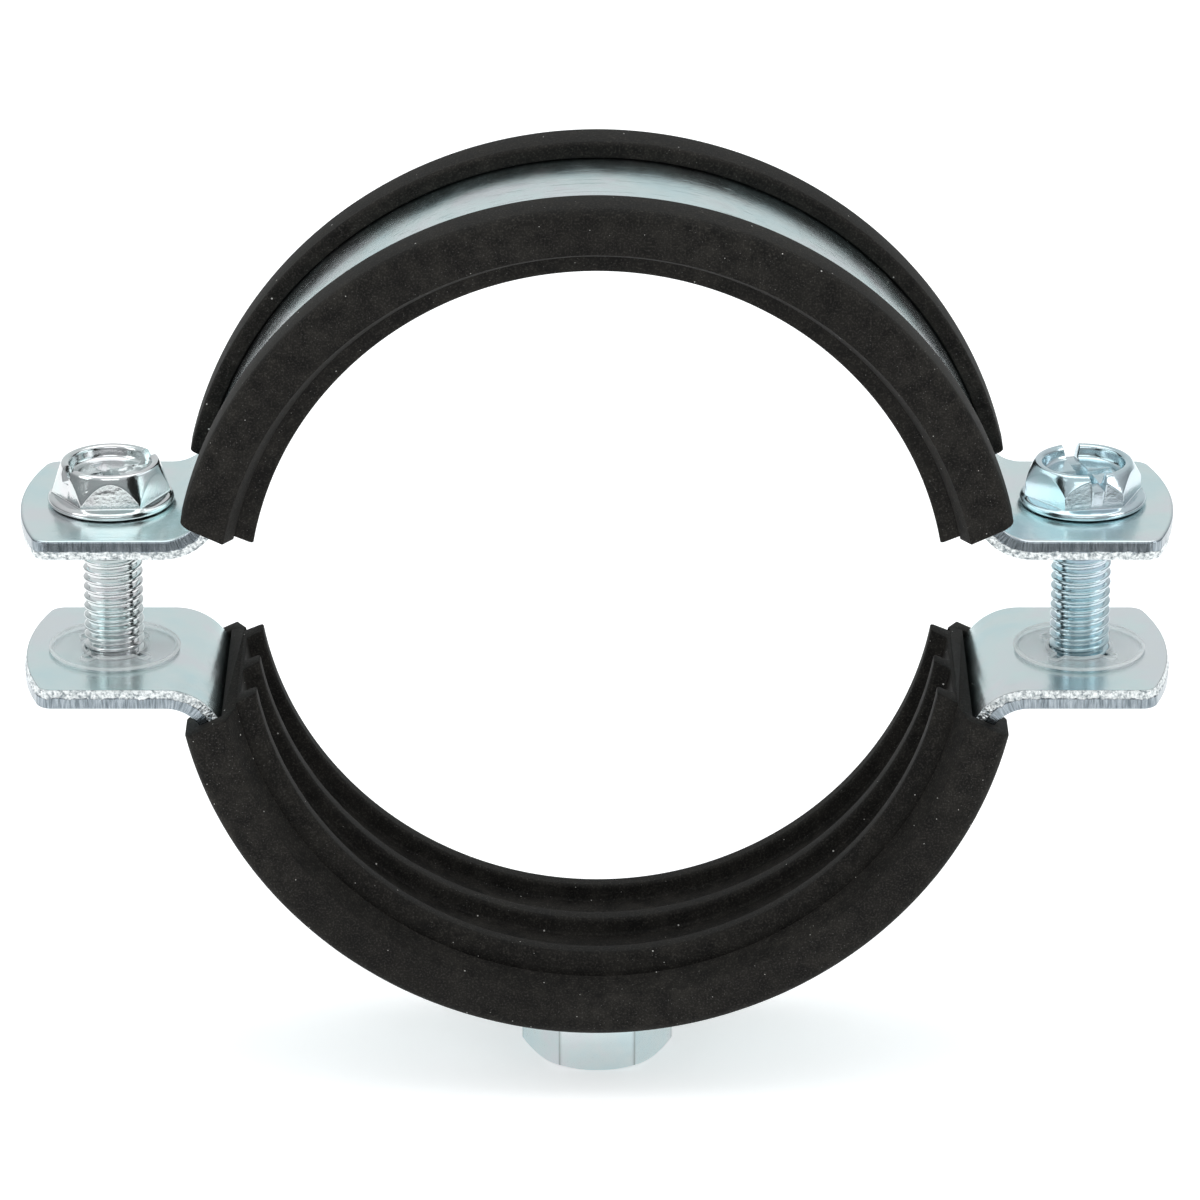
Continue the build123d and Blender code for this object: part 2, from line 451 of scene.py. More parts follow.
grainy = build.times(build.minus(fine, 0.5), given["Grain"])
rough = build.plus(given["Roughness"], build.plus(uneven, build.times(grainy, 0.2)))
build.feed(leave, "Roughness", build.math("MAXIMUM", rough, 0.06))
lines = []
for turn in (0.5, 2.1):
    turned_spot = {"Vector": spot, "Rotation": (0.2, 0.1, turn), "Scale": (90, 2600, 900)}
    laid = build.add("ShaderNodeMapping", turned_spot).outputs[0]
    lines.append(build.spread(build.noise(laid, 1.0, 1.0), 0.68, 0.74))
hairs = build.times(build.math("MAXIMUM", *lines), given["Hairlines"])
height = build.plus(build.times(grainy, 1.2), build.times(soft, 1.5))
build.feed(leave, "Height", build.minus(height, hairs))
print("plating group", len(plating.nodes), "nodes")

# %% [markdown]
# ## Materials
# Each finish is a material with one Principled BSDF, and its fine relief comes through a Bump node.
# Displacement would move real points, but grain of a hundredth of a millimetre needs only light
# and shade.


# %% Materials
def principled(name):
    """A material with an empty tree but for its Principled BSDF, and the short hands for it."""
    material = bpy.data.materials.new(name)
    material.use_nodes = True
    shader = material.node_tree.nodes["Principled BSDF"]
    return material, shader, Nodes(material.node_tree)


def place_group(build, group, values):
    """A shader group in a material, with that material's own values."""
    return build.add("ShaderNodeGroup", values, node_tree=group).outputs


def bump(build, shader, height, distance):
    """Joins a height to the shader's normal. distance is what a height of 1 is, in metres."""
    made = build.add("ShaderNodeBump", {"Height": height, "Distance": distance, "Strength": 1.0})
    build.feed(shader, "Normal", made.outputs[0])


# %% [markdown]
# ## Screw and nut finishes
# The screws went through the bath in different batches: the left one came out neutral and the
# right one bluish. Their threads were rolled, and are duller than the pressed heads. One function
# gives all four, because only their values differ. The nut has worn, darker corners too, so its
# material reads a mark that its mesh carries there.

# %% Screw and nut finishes
def plate(build, *values):
    """The plating group with values in the order of its inputs."""
    return place_group(build, plating, dict(zip(plating_inputs, values)))


def zinc_finish(name, values, relief, metallic):
    """A whole plated material. relief is the depth of its grain in millimetres."""
    material, shader, build = principled(name)
    shader.inputs["Metallic"].default_value = metallic
    coat = plate(build, *values)
    build.feed(shader, "Base Color", coat["Color"])
    build.feed(shader, "Roughness", coat["Roughness"])
    bump(build, shader, coat["Height"], relief * MM)
    return material


bright = {  # base colour, film, cloud size, roughness, grain, hairlines
    "left screw": ((0.62, 0.64, 0.645, 1), 0.25, 5.0, 0.13, 0.55, 0.3),
    "right screw": ((0.48, 0.60, 0.66, 1), 0.25, 6.0, 0.17, 0.6, 0.3),
}
dull = {
    "left thread": ((0.56, 0.59, 0.58, 1), 0.15, 3.0, 0.46, 0.5, 0.0),
    "right thread": ((0.40, 0.50, 0.56, 1), 0.15, 3.0, 0.44, 0.5, 0.0),
}
zinc = {}
for rows, relief, metallic in ((bright, 0.012, 1.0), (dull, 0.008, 0.8)):
    for name, row in rows.items():
        zinc[name] = zinc_finish("bright zinc, " + name, row, relief, metallic)

nut_zinc, shader, build = principled("bright zinc, nut")
shader.inputs["Metallic"].default_value = 1.0
coat = plate(build, (0.64, 0.71, 0.73, 1), 0.30, 6.0, 0.2, 0.7, 0.5)
worn = build.times(build.math("POWER", build.mark("corner"), 4.0), 0.75)
build.feed(shader, "Base Color", build.tint(worn, coat["Color"], (0.20, 0.22, 0.22, 1)))
build.feed(shader, "Roughness", coat["Roughness"])
bump(build, shader, coat["Height"], 0.015 * MM)
print("zinc finishes", sorted(zinc), nut_zinc.name)

# %% [markdown]
# ## Strap finish
# The punch goes in from the strap's outside. It leaves a smooth burnished band on the first half
# of the thickness, and the rest breaks away rough and sparkling. A second material on the edge
# faces would end in a hard line, so the blank carries three values instead: `rim` says that a
# point is on the cut edge, `through` how deep the punch is there, and `along` how far round the
# outline. The boundary between smooth and torn wanders a little with `along`.

# %% Strap material
strap_finish, shader, build = principled("zinc plated strap")
shader.inputs["Metallic"].default_value = 1.0
coat = plate(build, (0.66, 0.77, 0.785, 1), 0.40, 9.0, 0.22, 0.4, 0.6)
rim, through, along = (build.mark(name) for name in ("rim", "through", "along"))
edge_inputs = {"X": along, "Y": build.times(through, 0.25)}
edge_spot = build.add("ShaderNodeCombineXYZ", edge_inputs).outputs[0]
drag = build.noise(edge_spot, 5.0, 3.0)
wander = build.noise(edge_spot, 1.3, 4.0)
boundary = build.plus(0.40, build.times(wander, 0.34))
broken = build.spread(build.minus(through, boundary), -0.015, 0.03)
spot = build.spot()
chips = build.add("ShaderNodeTexVoronoi", {"Vector": spot, "Scale": 3400.0}).outputs["Distance"]
crumbs = build.noise(spot, 2300.0, 4.0, 0.65)
streaks = build.spread(drag, 0.3, 0.7)
smooth_edge = build.tint(streaks, (0.14, 0.17, 0.19, 1), (0.42, 0.47, 0.51, 1))
torn_light = build.spread(crumbs, 0.36, 0.56)
torn_edge = build.tint(torn_light, (0.25, 0.29, 0.31, 1), (0.95, 0.98, 0.98, 1))
edge_colour = build.tint(broken, smooth_edge, torn_edge)
build.feed(shader, "Base Color", build.tint(rim, coat["Color"], edge_colour))
edge_rough = build.blend(broken, 0.2, 0.36)
build.feed(shader, "Roughness", build.blend(rim, coat["Roughness"], edge_rough))
torn_height = build.times(build.plus(chips, crumbs), 12.0)
edge_height = build.blend(broken, build.times(drag, 1.5), torn_height)
bump(build, shader, build.blend(rim, coat["Height"], edge_height), 0.012 * MM)
print("strap finish", len(strap_finish.node_tree.nodes), "nodes")

# %% [markdown]
# ## Strap
# Sizes first. The strap follows its arc round the pipe, turns out through a bend each side and
# ends in two flat ears. The path could be drawn by eye, but the arc and the bend touch at one
# angle only, so that angle is worked out. Distance along the middle line is what a press worker
# would lay out.

# %% Strap sizes and path
strap_inner = 37.45
strap_thickness = 2.0
strap_half = 11.0
bend_radius = 5.0
ear_setback = 4.9
tip_reach = 8.8
tip_bulge = 2.1
tip_corner = 1.6
screw_offset = 5.45
strap_middle = strap_inner + strap_thickness / 2
bend_drop = ear_setback + strap_thickness / 2 + bend_radius
bend_angle = math.degrees(math.asin(bend_drop / (strap_middle + bend_radius)))
bend_reach = (strap_middle + bend_radius) * math.cos(math.radians(bend_angle))
screw_reach = bend_reach + screw_offset
arc_end = strap_middle * math.radians(90 - bend_angle)
turn_end = arc_end + bend_radius * math.radians(90 - bend_angle)
screw_at = turn_end + screw_offset
tip_at = screw_at + tip_reach
spare = 1.0
bend_degrees, arc_degrees = 1.5, 1.0

right_bend = arc((bend_reach, -bend_drop), bend_radius, 180 - bend_angle, 90, bend_degrees)
left_bend = [(-x, z) for x, z in reversed(right_bend)]
ear_level = -ear_setback - strap_thickness / 2
ear_end = screw_reach + tip_reach + spare
strap_points = [(-ear_end, ear_level)] + left_bend
long_arc = arc((0, 0), strap_middle, 180 + bend_angle, 360 - bend_angle, arc_degrees)
strap_points += long_arc[1:-1]
strap_points += right_bend + [(ear_end, ear_level)]
print("strap laid flat", round(2 * tip_at, 2), "mm long")
print("screws", round(2 * screw_reach, 2), "mm apart")

# %% [markdown]
# ## Strap outline
# The blank has straight sides and bulged tips with small round corners. A circle through three
# points gives the bulge. The outline is walked once, with the direction outwards at each point,
# because the cut edge needs that direction in every one of its rows. Only one end is worked out:
# the other is the same, turned round.

# %% Blank outline
arc_steps, bend_steps, ear_steps, corner_steps, tip_steps = 75, 30, 44, 8, 40


def blank_outline():
    """(along, across, outward angle) round the blank, and the columns up to the bend's end."""
    tip_radius = (strap_half**2 + tip_bulge**2) / (2 * tip_bulge)
    tip_centre = tip_at - tip_radius
    fillet_y = strap_half - tip_corner
    fillet_x = tip_centre + math.sqrt((tip_radius - tip_corner) ** 2 - fillet_y**2)
    fillet_turn = math.degrees(math.atan2(fillet_y, fillet_x - tip_centre))
    curved = [arc_end * i / arc_steps for i in range(arc_steps)]
    curved += [arc_end + (turn_end - arc_end) * i / bend_steps for i in range(bend_steps + 1)]
    ear = [turn_end + (fillet_x - turn_end) * i / ear_steps for i in range(1, ear_steps)]
    quarter = [(x, -strap_half, -90.0) for x in curved + ear]
    for i in range(corner_steps + 1):
        a = math.radians(-90 + (90 - fillet_turn) * i / corner_steps)
        x, y = fillet_x + tip_corner * math.cos(a), -fillet_y + tip_corner * math.sin(a)
        quarter.append((x, y, math.degrees(a)))
    for i in range(1, tip_steps + 1):
        a = math.radians(-fillet_turn * (1 - i / tip_steps))
        x, y = tip_centre + tip_radius * math.cos(a), tip_radius * math.sin(a)
        quarter.append((x, y, math.degrees(a)))
    half = quarter + [(x, -y, -a) for x, y, a in reversed(quarter[:-1])]
    return half + [(-x, -y, a + 180) for x, y, a in half[1:-1]], len(curved)


outline, curved_count = blank_outline()
print("outline points", len(outline))

# %% [markdown]
# ## Cut edge
# Rows of points step in from the outline: over the rolled edge on the punch side, down the
# burnished cut, and back through the torn part to the other face. A bevel would give one round
# shape all the way, and a punched edge is not like that. Noise moves the points of the torn part,
# so that the light catches it. The flat stretch has close rows at both ends, which keeps its
# shading flat.

# %% Cut edge
torn_from, torn_to = 0.57, 0.97
edge_rows = [  # height, step in from the outline, rim, through
    (-1.0, 0.55, 0, 0), (-1.0, 0.40, 0, 0), (-0.99, 0.25, 0.05, 0), (-0.955, 0.12, 0.35, 0.02),
    (-0.89, 0.05, 1, 0.05), (-0.82, 0.01, 1, 0.09), (-0.8, 0.0, 1, 0.1), (-0.77, 0.0, 1, 0.12),
    (0.09, 0.0, 1, 0.54), (0.12, 0.0, 1, 0.56), (0.17, 0.01, 1, 0.585), (0.3, 0.04, 1, 0.65),
    (0.45, 0.06, 1, 0.73), (0.6, 0.08, 1, 0.8), (0.75, 0.10, 1, 0.88), (0.88, 0.13, 1, 0.94),
    (0.97, 0.17, 0.8, 0.98), (1.0, 0.24, 0.05, 1), (1.0, 0.36, 0, 1),
]


def torn_depth(along, through):
    """How far the torn part of the edge stands back at a place along and through it."""
    if not torn_from < through < torn_to:
        return 0.0
    coarse = noise.noise(Vector((along * 1.9, through * 3.0, 3.3)))
    fine = noise.noise(Vector((along * 5.3, through * 9.0, 8.1)))
    return 0.10 * abs(coarse) + 0.05 * abs(fine)


print("edge rows", len(edge_rows), "torn back at one place", round(torn_depth(10, 0.8), 3), "mm")

# %% [markdown]
# ## Holes and marks
# A screw hole is a column of rings, from the inner face to the outer. Booleans could cut it into
# the finished blank, but its wall would then carry no marks for the finish. So the edge and the
# holes are written as one list of points, and each point has its three marks beside it.

# %% Rows of the blank
hole_steps = 72
hole_through = 0.3


def cut_rows(hole_rows):
    """Points, marks and faces of the blank's cut edge and hole walls, and each hole's start."""
    points, marks = [], {"rim": [], "through": [], "along": []}

    def put(x, y, z, rim, through, along):
        points.append((x, y, z))
        for key, value in zip(marks, (rim, through, along)):
            marks[key].append(value)

    travelled = [0.0]
    for (x0, y0, _), (x1, y1, _) in zip(outline, outline[1:]):
        travelled.append(travelled[-1] + math.hypot(x1 - x0, y1 - y0))
    for height, inset, rim, through in edge_rows:
        for (x, y, angle), along in zip(outline, travelled):
            a = math.radians(angle)
            step = inset + torn_depth(along, through)
            put(x - step * math.cos(a), y - step * math.sin(a), height, rim, through, along)
    faces = strips(len(edge_rows), len(outline))
    rings = {}
    for side in (-1, 1):
        first = rings[side] = len(points)
        for radius, height, rim in hole_rows:
            for s in range(hole_steps):
                a = 2 * math.pi * s / hole_steps
                x, y = side * screw_at + radius * math.cos(a), radius * math.sin(a)
                put(x, y, height, rim, hole_through, radius * a)
        faces += [tuple(first + i for i in f) for f in strips(len(hole_rows), hole_steps)]
    return points, marks, faces, rings


print("points in the rows of a blank without holes", len(cut_rows([])[0]))

# %% [markdown]
# ## Strap blank
# The two faces of the blank are closed between the outline and the holes. One big polygon with
# holes can't be bent. So the part that bends gets quads straight across, and only the flat ears
# are filled with triangles.


# %% Strap blank
def fill_side(work, at, rings, normal):
    """Closes one face of the blank inside its row of points, round a ring of points each side."""
    opposite, last = len(at) // 2, curved_count - 1
    right = [(at[i], at[opposite - i]) for i in range(last + 1)]
    left = [(at[-i], at[opposite + i]) for i in range(last + 1)]
    for pairs in (right, left):
        for (a, b), (c, d) in zip(pairs, pairs[1:]):
            work.faces.new((a, c, d, b))
    for side, first in ((1, last), (-1, opposite + last)):
        ear = at[first : first + opposite - 2 * last + 1]
        edges = []
        for chain in (ear, rings[side]):
            for pair in zip(chain, chain[1:] + chain[:1]):
                edges.append(work.edges.get(pair) or work.edges.new(pair))
        bmesh.ops.triangle_fill(work, use_beauty=True, edges=edges, normal=(0, 0, normal))


def strap_blank(name, hole_rows):
    """The flat strap. hole_rows go through each screw hole from the inner face to the outer."""
    points, marks, faces, starts = cut_rows(hole_rows)
    work = bmesh.new()
    layers = {key: work.verts.layers.float.new(key) for key in marks}
    made = [work.verts.new(p) for p in points]
    for i, v in enumerate(made):
        for key, layer in layers.items():
            v[layer] = marks[key][i]
    for f in faces:
        work.faces.new([made[i] for i in f])
    around = len(outline)
    for row, hole_row, normal in ((0, len(hole_rows) - 1, -1), (len(edge_rows) - 1, 0, 1)):
        rings = {}
        for side, start in starts.items():
            first = start + hole_row * hole_steps
            rings[side] = made[first : first + hole_steps]
        fill_side(work, made[row * around : (row + 1) * around], rings, normal)
    for v in work.verts:
        v.co *= MM
    mesh = bpy.data.meshes.new(name)
    work.to_mesh(mesh)
    work.free()
    blank = bpy.data.objects.new(name, mesh)
    scene.collection.objects.link(blank)
    return blank


# %% [markdown]
# ## Straps with their holes
# The upper ears have plain clearance holes. In the lower ears the metal is drawn down into a short
# collar, which gives the thread enough turns to hold in a two millimetre strap. Both are one
# column of radius and height through the hole, so the same blank takes either.

# %% Straps
plain_hole = [  # radius, height, rim
    (3.72, 1, 0), (3.6, 1, 0), (3.45, 0.93, 1), (3.4, 0.8, 1), (3.4, -0.75, 1), (3.46, -0.93, 1),
    (3.6, -1, 0), (3.75, -1, 0),
]
collar_hole = [
    (3.4, 1, 0), (3.28, 1, 0), (3.1, 0.94, 0.3), (3.02, 0.8, 0.5), (3.0, 0.6, 0.5),
    (3.0, -2.2, 0.5), (3.15, -2.45, 0.5), (3.3, -2.5, 0.5), (4.2, -2.5, 0.5), (4.4, -2.42, 0.3),
    (4.5, -2.25, 0.1), (4.5, -1.5, 0), (4.55, -1.25, 0), (4.7, -1.07, 0), (4.95, -1, 0),
    (5.1, -1, 0),
]
for half, hole_rows in (("lower", collar_hole), ("upper", plain_hole)):
    route = path_curve("strap path " + half, strap_points, half)
    band = strap_blank(half + "_strap", hole_rows)
    values = {"Path": route, "Middle": (tip_at + spare) * MM, "Finish": strap_finish}
    run_tree(band, bend_tree, values)
    bpy.data.objects.remove(route)
    tidy(band, corner=40)
    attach(band, half + "_half")
    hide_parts(half + "_band")

# %% [markdown]
# ## Dust
# Black rubber shows every speck of dust and lint. Scattered white points could be real geometry,
# but thousands of them would weigh more than the clamp. A Voronoi pattern has one point in each
# cell: some cells are chosen by their random colour, and a small dot is drawn in those. It is a
# group of its own, because the rubber uses it twice, for specks and for powder.

# %% Dust group
dust, build, given, leave = new_group(
    "dust specks",
    "ShaderNodeTree",
    {"Spacing": 1.6, "Share": 0.2, "Size": 0.06},
    {"Mask": "Float"},
)
per_metre = build.math("DIVIDE", 1 / MM, given["Spacing"])
cells = build.add("ShaderNodeTexVoronoi", {"Vector": build.spot(), "Scale": per_metre}).outputs
pick = build.add("ShaderNodeSeparateColor", {0: cells["Color"]}).outputs
chosen = build.math("LESS_THAN", pick[0], given["Share"])
speck_size = build.times(given["Size"], build.plus(0.4, pick[1]))
reach = build.math("DIVIDE", speck_size, given["Spacing"])
inside = build.spread(cells["Distance"], reach, build.times(reach, 0.5))
build.feed(leave, "Mask", build.times(inside, chosen))
print("dust group", len(dust.nodes), "nodes")

# %% [markdown]
# ## Rubber
# The lining is a dull black rubber. What shows on it is not the rubber but what lies on it: a grey
# bloom in soft clouds, fine grit, powder and a few white specks. One flat black would look like
# plastic, so the colour is built up in those layers, from the body outwards.

# %% Rubber material
rubber, shader, build = principled("black rubber")
shader.inputs["Specular IOR Level"].default_value = 0.14
specks = place_group(build, dust, {"Spacing": 1.1, "Share": 0.5, "Size": 0.08})["Mask"]
powder = place_group(build, dust, {"Spacing": 0.32, "Share": 0.5, "Size": 0.05})["Mask"]
spot = build.spot()
bloom = build.noise(spot, 480.0, 6.0, 0.72)
patch = build.noise(spot, 55.0, 2.0)
grit = build.noise(spot, 5200.0, 2.0)
clouds = build.times(build.spread(bloom, 0.38, 0.72), build.spread(patch, 0.35, 0.65, 0.5, 1.0))
gritty = build.spread(grit, 0.5, 0.74, 0.0, 0.75)
grey = build.math("ADD", build.times(clouds, 0.7), gritty, clamp=True)
body = build.tint(grey, (0.0040, 0.0036, 0.0031, 1), (0.034, 0.0312, 0.0272, 1))
powdered = build.times(powder, build.spread(patch, 0.42, 0.62, 0.08, 0.6))
body = build.tint(powdered, body, (0.16, 0.155, 0.15, 1))
body = build.tint(build.times(specks, 0.9), body, (0.62, 0.61, 0.58, 1))
build.feed(shader, "Base Color", body)
build.feed(shader, "Roughness", build.spread(bloom, 0.3, 0.7, 0.62, 0.80))
skin = build.noise(spot, 2600.0, 3.0)
ripple = build.noise(spot, 240.0, 2.0)
relief = build.plus(build.times(skin, 0.35), build.times(ripple, 1.6))
bump(build, shader, build.plus(relief, specks), 0.02 * MM)
print("rubber", len(rubber.node_tree.nodes), "nodes")

# %% [markdown]
# ## Lining section
# The section is drawn in radius and width, as the die of the extruder is. Three ribs face the
# pipe, a small groove runs beside each outer rib, the side walls close round the strap's edges and
# two lips fold over its outside. Every corner has its own radius, because extruded rubber has no
# sharp ones. A bevel afterwards would round them all alike.

# %% Lining section
pipe_radius = 33.75
rib_root = 35.45
lining_outer = 41.15
lining_half = 12.9
half_section = [  # radius, across, rounding
    (pipe_radius, 1.0, 0.45), (rib_root, 1.2, 0.4), (rib_root, 7.0, 0.4), (pipe_radius, 7.2, 0.4),
    (pipe_radius, 9.2, 0.55), (35.5, 9.42, 0.1), (36.2, 9.5, 0.12), (36.2, 9.92, 0.12),
    (35.72, 10.25, 0.08), (36.75, lining_half, 0.14), (lining_outer, lining_half, 1.2),
    (lining_outer, 7.65, 0.5), (39.56, 7.65, 0.25), (39.56, 11.08, 0.1), (37.34, 11.08, 0.1),
]
section = rounded(half_section + [(r, -y, a) for r, y, a in reversed(half_section)])
print("lining section points", len(section))

# %% [markdown]
# ## Lining
# A flat length of the section is laid along an arc by the same tree as the strap. Its ends are cut
# at a slant by one straight knife stroke, so each point of the section ends at the angle where its
# own radius meets the plane of the cut. A boolean could make the same cut, but would leave no rows
# to round. The last rows step in a little, which rounds the cut edge. Rubber is never quite
# straight, so the side walls sag a little here and there.

# %% Lining rows
end_lean = 25.0
end_drop = 7.9
lean = math.radians(end_lean)
cut_reach = strap_inner * math.sin(lean) - end_drop * math.cos(lean)
end_rows = [(0.0, 0.11), (0.03, 0.045), (0.1, 0.0), (0.3, 0.0)]  # back from the cut, step in
end_turn = 0.012
middle_rows = 150
sag_depth = 0.05
sag_from, sag_width = 9.0, 3.9


def outward(outline, i):
    """The direction out of a closed outline of two-dimensional points at one of them."""
    side = (outline[(i + 1) % len(outline)] - outline[i - 1]).normalized()
    return Vector((side.y, -side.x))


def lining_points():
    """The section in every row from one cut end to the other, laid flat on its outer path."""
    area = sum(a.cross(b) for a, b in zip(section, section[1:] + section[:1]))
    sign = 1 if area > 0 else -1
    outs = [outward(section, i) * sign for i in range(len(section))]
    plan = [(back, step, -1) for back, step in end_rows]
    plan += [(None, 0.0, -1 + 2 * i / middle_rows) for i in range(1, middle_rows)]
    plan += [(back, step, 1) for back, step in reversed(end_rows)]
    points = []
    for back, step, place in plan:
        for p, out in zip(section, outs):
            radius, y = p - out * step
            end = math.acos(-cut_reach / radius) - lean
            turn = place * (end - (end_turn if back is None else back / radius))
            wave = noise.noise(Vector((turn * 6.0, y * 0.12, 1.0 + radius * 0.1)))
            sag = sag_depth * wave * max(0.0, abs(y) - sag_from) / sag_width
            across = y - math.copysign(abs(sag), y)
            points.append((turn * strap_middle, across, strap_middle - radius))
    return points, len(plan)


points, rows = lining_points()
print("lining rows", rows, "of", len(section), "points")

# %% [markdown]
# ## Both linings
# The same flat length serves both halves, and only its path is turned over. Its two ends are
# closed with one face each. A copy of the bent lower lining could be turned instead, but then the
# place of the upper half would be written down twice.

# %% Linings
path_start, path_end = 165, 375
width = len(section)
faces = strips(rows, width) + [tuple(range(width))]
faces.append(tuple((rows - 1) * width + i for i in reversed(range(width))))
for half in ("lower", "upper"):
    lining = solid(half + "_lining_rubber", points, faces)
    arc_points = arc((0, 0), strap_middle, path_start, path_end, arc_degrees)
    route = path_curve("lining path " + half, arc_points, half)
    start = strap_middle * math.radians((path_end - path_start) / 2)
    run_tree(lining, bend_tree, {"Path": route, "Middle": start * MM, "Finish": rubber})
    bpy.data.objects.remove(route)
    tidy(lining, corner=50)
    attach(lining, half + "_half")
    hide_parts(half + "_lining")

# %% [markdown]
# ## Screw thread
# A thread repeats, so a tree makes it. A grid has the turn across and the thread's rows along it,
# and each row climbs one pitch in a full turn. The last column then meets the first, one pitch of
# rows up, and the seam closes. Rows past either end fall onto an end radius, which is nought for
# a solid screw. A helical sweep would leave its ends open and cut into the core.

# %% Thread tree
spare_turns, turns_before = 3.0, 2.0
flank_low, flank_high = 0.2, 0.84
thread_tree, build, given, leave = new_group(
    "screw thread",
    "GeometryNodeTree",
    {
        "Geometry": "Geometry",
        "Length": 20 * MM,
        "Pitch": 1 * MM,
        "Crest Radius": 2.95 * MM,
        "Root Radius": 2.5 * MM,
        "Point": 0.6 * MM,
        "End Radius": 0.0,
        "Turn Steps": 48,
        "Rows": 14,
        "Place": (0.0, 0.0, 0.0),
        "Finish": "Material",
    },
    {"Geometry": "Geometry"},
)
length, pitch, crest = given["Length"], given["Pitch"], given["Crest Radius"]
turns = build.math("CEIL", build.plus(build.math("DIVIDE", length, pitch), spare_turns))
grid_rows = build.plus(build.times(turns, given["Rows"]), 1.0)
columns = build.plus(given["Turn Steps"], 1.0)
sizes = {"Size X": 1.0, "Size Y": 1.0, "Vertices X": columns, "Vertices Y": grid_rows}
grid = build.add("GeometryNodeMeshGrid", sizes).outputs["Mesh"]
place = build.add("GeometryNodeInputPosition").outputs[0]
spot = build.add("ShaderNodeSeparateXYZ", {0: place}).outputs
turn = build.plus(spot["X"], 0.5)
row_climb = build.times(build.times(build.plus(spot["Y"], 0.5), turns), pitch)
climb = build.minus(row_climb, build.times(pitch, turns_before))
height = build.plus(climb, build.times(turn, pitch))
over = build.math("DIVIDE", build.minus(height, length), pitch, clamp=True)
under = build.math("DIVIDE", build.times(height, -1.0), pitch, clamp=True)
beyond = build.math("MAXIMUM", over, under)
held = build.math("MINIMUM", build.math("MAXIMUM", height, 0.0), length)
phase = build.math("FRACT", build.minus(build.math("DIVIDE", held, pitch), turn))
fold = build.math("ABSOLUTE", build.minus(build.times(phase, 2.0), 1.0))
flank = build.spread(build.minus(1.0, fold), flank_low, flank_high, smooth=True)
ridge = build.blend(flank, given["Root Radius"], crest)
to_end = build.math("MINIMUM", held, build.minus(length, held))
cone = build.plus(build.minus(crest, given["Point"]), to_end)
radius = build.blend(beyond, build.math("MINIMUM", ridge, cone), given["End Radius"])
angle = build.times(turn, 2 * math.pi)
round_x = build.times(radius, build.math("COSINE", angle))
round_y = build.times(radius, build.math("SINE", angle))
wound = build.add("ShaderNodeCombineXYZ", {"X": round_x, "Y": round_y, "Z": held}).outputs[0]
moved = build.vector("ADD", wound, given["Place"])
thread = build.add("GeometryNodeSetPosition", {"Geometry": grid, "Position": moved}).outputs[0]
inputs = {"Geometry": thread, "Distance": 2 * merge_distance * MM}
joined = build.add("GeometryNodeMergeByDistance", inputs).outputs[0]
finish_shape(build, leave, joined, given["Finish"])
print("thread tree", len(thread_tree.nodes), "nodes")

# %% [markdown]
# ## Screw head
# The head is cold formed: a cone with six flats pressed into it, a beaded flange under it and a cup
# in its top. Flats could be cut from a cone with booleans, but their edges would then need mending.
# The turned part follows a rule instead: at each angle the flat is as far out as a hexagon, until
# the cone comes inside it.

# %% Head shape
head_seat = 10.75
head_height = 4.2
flat_reach = 5.0
cone_foot_height = 0.95
cone_rim = 4.75
cone_top = 3.82
cup_floor = 2.9
head_steps = 120
flange_rows = [
    (0, 0), (2.0, 0), (5.6, 0), (5.95, 0.03), (6.12, 0.14), (6.2, 0.34), (6.17, 0.52),
    (6.06, 0.68), (5.9, 0.77),
]
cup_rows = [
    (4.82, 4.0), (4.73, 4.12), (4.6, 4.19), (4.42, head_height), (4.22, 4.17), (4.07, 4.08),
    (3.99, 3.93), (3.95, 3.75), (3.88, 3.3), (3.78, 3.05), (3.6, 2.94), (3.35, cup_floor),
    (1.8, cup_floor), (0, cup_floor),
]


def hexagon(flat, angle):
    """How far out the side of a hexagon is at an angle."""
    return flat / math.cos(math.radians((angle % 60) - 30))


def head_column(angle, cone_foot):
    """Radius and height down one side of the head, from its underside to the cup's middle."""
    slope = (cone_foot - cone_rim) / (head_height - cone_foot_height)

    def cone_at(height):
        return cone_foot - slope * (height - cone_foot_height)

    flat = hexagon(flat_reach, angle)
    meet = cone_foot_height + (cone_foot - flat) / slope
    foot = cone_foot_height - 0.03
    column = flange_rows + [(min(5.87, flat + 0.3), 0.83), (flat + 0.07, foot - 0.03)]
    column += [(flat + 0.01, foot + 0.05), (flat, foot + 0.12), (flat, meet - 0.09)]
    column += [(flat - 0.012, meet), (cone_at(meet + 0.09), meet + 0.09)]
    for part in (0.4, 0.8, 1.0):
        height = meet + 0.09 + (cone_top - meet - 0.09) * part
        column.append((cone_at(height), height))
    return column + cup_rows


print("head column", len(head_column(0, 6.0)), "points, head", head_height, "mm high")

# %% [markdown]
# ## Slot and recess
# The slot and the cross recess are struck by a punch that narrows downwards. Here each is a wedge,
# and a boolean takes it out of the turned head, which is the one place where a boolean is shorter
# than a rule. The edges it leaves are knife sharp. Pressed metal has soft ones, so they are
# bevelled a little.

# %% Punches
punch_depth = 1.6
punch_taper = 12
punches = {"slot": (14.0, 1.8, 4.3), "recess": (5.6, 1.3, 3.0), "crossing": (1.3, 5.6, 3.0)}


